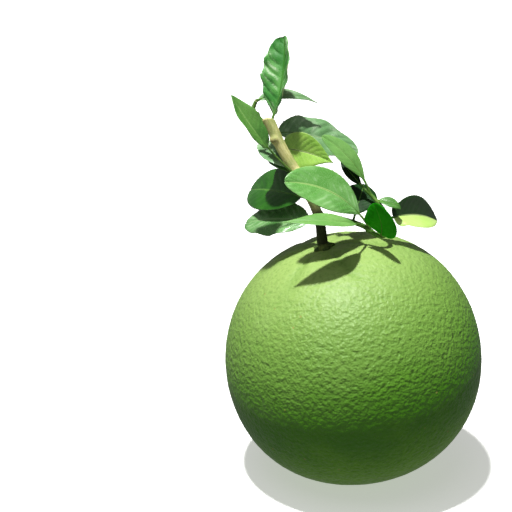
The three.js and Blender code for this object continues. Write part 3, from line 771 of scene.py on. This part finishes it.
leafShape = {"rows": 90, "columns": 37, "thickness": 0.6, "petiole": 0.85, "neck": 0.17,
             "teeth": 21.0}
leafTable = {
    "crown": {"on": "branch", "at": 0.975, "tip": (-43.7, 26, 196.7), "face": (-0.66, -0.65, 0.3),
              "width": 31.5, "arch": 0, "sweep": 4, "fold": 48, "wave": 1.2, "waves": 4, "neck": 0.1,
              "base": 0.78, "end": 0.36, "skew": 1.1, "quilt": 1.1, "pairs": 7, "finish": "crownLeaf"},
    "crown_back": {"on": "shoot_top", "at": 1, "tip": (-22.2, 36, 153.7), "face": (0, -0.5, 0.85),
                   "width": 10, "arch": 2.5, "sweep": -4, "fold": 12, "neck": 0.05, "base": 0.6,
                   "end": 1.4, "skew": 0.85, "finish": "greyLeaf"},
    "high_left": {"on": "branch", "at": 0.52, "tip": (-75.3, 4, 166.5), "face": (0.4, -0.65, 0.65),
                  "width": 18, "arch": 2, "sweep": -5.5, "fold": 36, "wave": 0.8, "waves": 2,
                  "neck": 0.43, "base": 0.6, "end": 0.8, "finish": "matureLeaf"},
    "low_left": {"on": "branch", "at": 0.6, "tip": (-59.3, 26, 130.2), "face": (0.35, -0.7, 0.6),
                 "width": 21, "arch": 1, "sweep": 2, "fold": 10, "neck": 0.08, "base": 0.55, "end": 0.6,
                 "finish": "greyLeaf"},
    "high_right": {"on": "branch", "at": 0.9, "tip": (3.2, 36, 121.7), "face": (0, -0.7, 0.7),
                   "width": 27, "arch": -5, "sweep": -8.5, "fold": 6, "wave": 1.4, "waves": 3,
                   "neck": 0.06, "base": 0.62, "end": 0.5, "quilt": 0.7, "skew": 1.1,
                   "finish": "greyLeaf"},
    "bright": {"on": "branch", "at": 0.78, "tip": (-13.3, 12, 122.2), "face": (0, -0.85, 0.5),
               "width": 23.5, "arch": -3, "sweep": -2.5, "fold": 20, "neck": 0.05, "base": 0.5,
               "end": 1.15, "skew": 0.6, "quilt": 0.25, "finish": "youngLeaf"},
    "left": {"on": "branch", "at": 0.34, "tip": (-64, 56, 91.3), "face": (-0.1, -0.82, 0.55),
             "width": 30.5, "arch": 5, "sweep": 0, "fold": 10, "neck": 0.12, "base": 0.6, "end": 0.5,
             "finish": "shadedLeaf"},
    "left_gloss": {"on": "branch", "at": 0.15, "tip": (-66.8, 32, 76.9), "face": (0, -0.62, 0.78),
                   "width": 28, "arch": 4, "sweep": 0, "fold": 8, "wave": 1, "waves": 3, "neck": 0.12,
                   "base": 0.7, "end": 0.5, "quilt": 0.35, "finish": "satinLeaf"},
    "back": {"on": "branch", "at": 0.48, "tip": (-43.4, 44, 116.2), "face": (-0.3, 0.3, 0.8),
             "width": 26, "arch": 7, "sweep": 0, "fold": 12, "finish": "matureLeaf"},
    "front": {"on": "shoot_right", "at": 0.46, "tip": (-43.8, -20, 120), "face": (0.15, -0.62, 0.77),
              "width": 28.5, "arch": 5, "sweep": 7, "fold": 9, "neck": 0.2, "base": 0.8, "end": 0.52,
              "quilt": 0.25, "skew": 1.04, "finish": "glossyLeaf"},
    "front_low": {"on": "shoot_right", "at": 0.38, "tip": (-45.1, -40, 101.6), "face": (0, -0.3, 0.95),
                  "width": 15.5, "arch": 8, "sweep": -9, "fold": 10, "neck": 0.2, "base": 0.85,
                  "end": 1, "finish": "paleLeaf"},
    "dark": {"on": "shoot_right", "at": 0.53, "tip": (8.9, -21, 107.3), "face": (-0.58, -0.8, -0.18),
             "width": 22.5, "arch": 2, "sweep": 4, "fold": 8, "neck": 0.06, "base": 0.55, "end": 0.45,
             "quilt": 0.08, "finish": "deepLeaf"},
    "right": {"on": "shoot_right", "at": 0.71, "tip": (54.6, 34, 77.6), "face": (0.1, -0.8, 0.6),
              "width": 28, "arch": 3, "sweep": -2, "fold": 38, "neck": 0.1, "base": 0.6, "end": 1.05,
              "skew": 0.75, "finish": "halfShadowLimeLeaf"},
    "right_small": {"on": "shoot_right", "at": 0.88, "tip": (27.2, -3, 97.7), "face": (0.2, -0.4, 0.85),
                    "width": 9, "arch": 2, "sweep": 0, "fold": 10, "neck": 0.06,
                    "finish": "matureLeaf"},
    "upper_right": {"on": "shoot_right", "at": 0.95, "tip": (-21.1, 8, 140.3), "face": (0.4, -0.7, 0.6),
                    "width": 13.5, "arch": 3, "sweep": 3, "fold": 6, "neck": 0.16, "base": 1.05,
                    "end": 0.55, "skew": 1.15, "finish": "paleLeaf"},
    "upper_back": {"on": "shoot_right", "at": 1, "tip": (-8.4, 18, 122.4), "face": (-0.3, -0.5, 0.8),
                   "width": 7, "arch": 2, "sweep": -1, "fold": 8, "finish": "paintedShadeLeaf"},
    "back_low": {"on": "shoot_right", "at": 0.28, "tip": (6.3, 20, 106.4), "face": (0, -0.7, 0.5),
                 "width": 21, "arch": 3, "sweep": 0, "fold": 10, "finish": "paintedShadeLeaf"},
}


def makeLeafTree():
    tree, given = newTree("leafBlade", {
        "Root": (0.0, 0.0, 0.0), "Tip": (0.05, 0.0, 0.0), "Face": (0.0, 0.0, 1.0), "Width": 20 * mm,
        "Arch": 0.0, "Sweep": 0.0, "Fold": 0.2, "Wave": 0.0, "Waves": 0.0, "Neck": leafShape["neck"], "Base Shape": 0.75,
        "Tip Shape": 0.75, "Skew": 0.92,
        "Petiole Radius": leafShape["petiole"] * mm, "Thickness": leafShape["thickness"] * mm,
        "Vein Pairs": 9.0, "Quilt": 0.15 * mm, "Vein Depth": 0.08 * mm, "Teeth": 0.012, "Rows": leafShape["rows"],
        "Columns": leafShape["columns"], "Seed": 0.0}, ("Blade Material", "Petiole Material"))
    chord = given["Tip"] - given["Root"]
    length = span(chord)
    along = unit(chord)
    face = unit(given["Face"] - along * dot(given["Face"], along))
    across = cross(along, face)
    neck = given["Neck"]

    def midrib(share):
        # the midrib's place, and the directions across it and out of it
        bow = share * (1.0 - share) * 4.0
        bend = (share * -2.0 + 1.0) * 4.0
        middle = (given["Root"] + along * (length * share) + face * (given["Arch"] * bow)
                  + across * (given["Sweep"] * bow))
        heading = unit(along * length + face * (given["Arch"] * bend) + across * (given["Sweep"] * bend))
        side = unit(cross(heading, face))
        return middle, side, cross(side, heading)

    here = Wire(tree, addNode(tree, "GeometryNodeInputPosition").outputs[0])
    grid = addNode(tree, "GeometryNodeMeshGrid", {"Size X": 1.0, "Size Y": 1.0, "Vertices X": given["Rows"],
                                                   "Vertices Y": given["Columns"]})
    x, y, _ = parts(here)
    blade = cosine((x + 0.5) * math.pi) * -0.5 + 0.5  # rows crowd towards the base and the tip
    s = y * 2.0
    flat = joined(tree, blade, y + 0.5, 0.0)
    sheet = keepValue(tree, grid.outputs[0], "leafPlace", flat, "FLOAT2", "CORNER")
    sheet = keepValue(tree, sheet, "bladeShare", blade)
    sheet = keepValue(tree, sheet, "sideShare", s)

    def named(label):
        made = addNode(tree, "GeometryNodeInputNamedAttribute", {"Name": label}, data_type="FLOAT")
        return Wire(tree, made.outputs[0])

    blade, s = named("bladeShare"), named("sideShare")
    middle, side, normal = midrib(blade * (1.0 - neck) + neck)
    away = size(s)
    opening = rise(blade, 0.0, 0.12)
    teeth = sine(blade * 2.0 * math.pi * leafShape["teeth"]) * given["Teeth"] * rise(away, 0.8, 1.0) + 1.0
    shape = given["Base Shape"] + (given["Tip Shape"] - given["Base Shape"]) * blade
    outline = given["Width"] * 0.5 * most(sine(blade ** given["Skew"] * math.pi), 0.0) ** shape * teeth
    width = most(given["Petiole Radius"] * (1.0 - blade * 0.6), outline)
    cup = width * sine(given["Fold"]) * opening * (away ** 1.3 - away ** 3.0 * 0.35)
    shift = (s.scalar("SIGN") * -0.5 + 0.5) * 2.1
    bulge = most(sine(blade * math.pi), 0.0)
    ripple = s * s * bulge * sine(blade * 2.0 * math.pi * given["Waves"] + shift) * given["Wave"]
    vein = (blade - away * 0.2 - away * away * 0.05) * given["Vein Pairs"] + s.scalar("SIGN") * 0.22
    ridge = size(vein.scalar("FRACT") - 0.5) * 2.0
    inside = rise(away, 0.02, 0.3) * rise(away, 1.0, 0.75) * rise(blade, 0.02, 0.12)
    quilt = (1.0 - ridge ** 3.0) * given["Quilt"] * inside
    channel = bell(s * width, 0.7 * mm) * 0.25 * mm * opening
    sunk = rise(ridge, 0.82, 1.0) * given["Vein Depth"] * inside + channel
    uneven = noise(middle + side * (s * width), 55.0, 1.0, 0.5, given["Seed"]) - 0.5
    drift = uneven * 1.2 * mm * away * bulge
    lateral = s * width * cosine(given["Fold"] * opening * away)
    point = middle + side * lateral + normal * (cup + ripple + quilt - sunk + drift)
    sheet = chain(tree, "GeometryNodeSetPosition", sheet, {"Position": point})
    # two skins that meet at the margin
    facing = Wire(tree, addNode(tree, "GeometryNodeInputNormal").outputs[0])
    turned = dot(facing, normal).scalar("SIGN")
    half = given["Thickness"] * 0.5 * (1.0 - away ** 6.0) * (1.0 - size(blade * 2.0 - 1.0) ** 14.0)
    skins = []
    for sign, mark in ((1.0, 0.0), (-1.0, 1.0)):
        skin = chain(tree, "GeometryNodeSetPosition", sheet, {"Offset": facing * (half * turned * sign)})
        skin = keepValue(tree, skin, "underside", mark, domain="FACE")
        skins.append(skin)
    flipped = chain(tree, "GeometryNodeFlipFaces", skins[1])
    both = addNode(tree, "GeometryNodeJoinGeometry")
    plug(tree, both.inputs[0], flipped)
    plug(tree, both.inputs[0], skins[0])
    closed = chain(tree, "GeometryNodeMergeByDistance", both.outputs[0], {"Distance": 0.002 * mm})
    closed = keepValue(tree, closed, "petiolePart", 0.0, domain="FACE")
    # the petiole runs on under the blade as its midrib
    line = addNode(tree, "GeometryNodeCurvePrimitiveLine", {"Start": (0.0, 0.0, 0.0), "End": (1.0, 0.0, 0.0)})
    line = chain(tree, "GeometryNodeResampleCurve", line.outputs[0], {"Count": 46})
    share = parts(here)[0] * 0.97
    line = keepValue(tree, line, "along", share * 0.6 + 0.35)
    on = rise(share, neck, neck + 0.08)
    thick = given["Petiole Radius"] * (1.0 - share ** 0.7 * 0.72) * (bell(share, 0.03) * 0.35 + 1.0)
    line = keepValue(tree, line, "thick", thick)
    middle, side, normal = midrib(share)
    line = chain(tree, "GeometryNodeSetPosition", line, {"Position": middle - normal * (thick * on * 0.7)})
    ring = addNode(tree, "GeometryNodeCurvePrimitiveCircle", {"Resolution": 12, "Radius": 1.0})
    stalk = addNode(tree, "GeometryNodeCurveToMesh", {"Curve": line, "Profile Curve": ring.outputs[0],
                                                       "Scale": named("thick"), "Fill Caps": True})
    stalk = keepValue(tree, stalk.outputs[0], "petiolePart", 1.0, domain="FACE")
    whole = addNode(tree, "GeometryNodeJoinGeometry")
    plug(tree, whole.inputs[0], stalk)
    plug(tree, whole.inputs[0], closed)
    finishTree(tree, whole.outputs[0], given["Blade Material"],
               [(named("petiolePart").scalar("GREATER_THAN", 0.5), given["Petiole Material"])])
    return tree


leafTree = makeLeafTree()
leafNames = []
for number, (name, t) in enumerate(leafTable.items()):
    root = onPath(twigTable[t["on"]]["points"], t["at"])
    values = {
        "Root": tuple((root + fruitCentre) * mm), "Tip": tuple((Vector(t["tip"]) + fruitCentre) * mm),
        "Face": tuple(float(v) for v in t["face"]), "Width": t["width"] * mm, "Arch": t["arch"] * mm,
        "Sweep": t["sweep"] * mm, "Fold": math.radians(t["fold"]), "Wave": t.get("wave", 0) * mm,
        "Waves": float(t.get("waves", 0)), "Neck": float(t.get("neck", leafShape["neck"])),
        "Base Shape": float(t.get("base", 0.75)), "Tip Shape": float(t.get("end", 0.75)),
        "Skew": float(t.get("skew", 0.92)), "Quilt": t.get("quilt", 0.16) * mm,
        "Vein Pairs": float(t.get("pairs", 9)), "Seed": float(number),
        "Blade Material": leafMaterials[t["finish"]], "Petiole Material": petioleGreen,
    }
    leaf = grow("leaf." + name, leafTree, values)
    dress(leaf, "leaf", "leaf_" + name)
    leafNames.append(leaf.name)
print("leaves grown:", len(leafNames))

# Floor, light and camera
stageTable = {
    "floor": (240, 240, 238), "floorGlow": 0.5, "sunStrength": 4.6, "sunSpread": 3.0,
    "sunFrom": (-0.15, -0.12, 0.97), "softboxPower": 3.0, "softboxSize": 1.0,
    "softboxPlace": (-0.25, -0.45, 1.3), "skyAbove": 0.1, "skyBelow": 0.33,
}


def makeStage():
    t = stageTable
    bpy.ops.mesh.primitive_plane_add(size=6)
    floor = bpy.context.object
    floor.name = "floor"
    material, tree, shader = newMaterial("paleFloor", Roughness=0.85, Specular_IOR_Level=0.1)
    shader.inputs["Base Color"].default_value = paint(*t["floor"])
    shader.inputs["Emission Color"].default_value = paint(*t["floor"])
    shader.inputs["Emission Strength"].default_value = t["floorGlow"]  # keeps its shadows pale
    floor.data.materials.append(material)
    floor.visible_diffuse = floor.visible_glossy = False  # throws no light up at the fruit
    sun = bpy.data.lights.new("sun", "SUN")
    sun.energy, sun.angle = t["sunStrength"], math.radians(t["sunSpread"])
    softbox = bpy.data.lights.new("softbox", "AREA")
    softbox.energy, softbox.size = t["softboxPower"], t["softboxSize"]
    for lamp, place in ((sun, t["sunFrom"]), (softbox, t["softboxPlace"])):
        holder = bpy.data.objects.new(lamp.name, lamp)
        holder.location = place
        holder.rotation_euler = Vector(place).to_track_quat("Z", "Y").to_euler()
        bpy.context.scene.collection.objects.link(holder)
    world = bpy.data.worlds.new("softSky")
    world.use_nodes = True
    background = world.node_tree.nodes["Background"]
    background.inputs["Color"].default_value = (1.0, 1.0, 1.0, 1.0)
    sky = world.node_tree
    height = parts(Wire(sky, addNode(sky, "ShaderNodeTexCoord").outputs["Generated"]))[2]
    plug(sky, background.inputs["Strength"], rise(height, -0.6, 0.6, t["skyBelow"], t["skyAbove"]))
    bpy.context.scene.world = world
    bpy.context.scene.view_settings.view_transform = "Standard"


makeStage()

cameraTable = {"elevation": 20.0, "distance": 896.0, "lens": 100.0, "aside": -60.5, "above": 62.4}


def makeCamera():
    t = cameraTable
    tilt = math.radians(t["elevation"])
    forward = Vector((0, math.cos(tilt), -math.sin(tilt)))
    upward = Vector((0, math.sin(tilt), math.cos(tilt)))
    aim = fruitCentre + Vector((1, 0, 0)) * t["aside"] + upward * t["above"]
    camera = bpy.data.objects.new("camera", bpy.data.cameras.new("camera"))
    camera.data.lens, camera.data.sensor_width = t["lens"], 36.0
    camera.location = (aim - forward * t["distance"]) * mm
    camera.rotation_euler = forward.to_track_quat("-Z", "Y").to_euler()
    bpy.context.scene.collection.objects.link(camera)
    bpy.context.scene.camera = camera


makeCamera()
print("stage set")
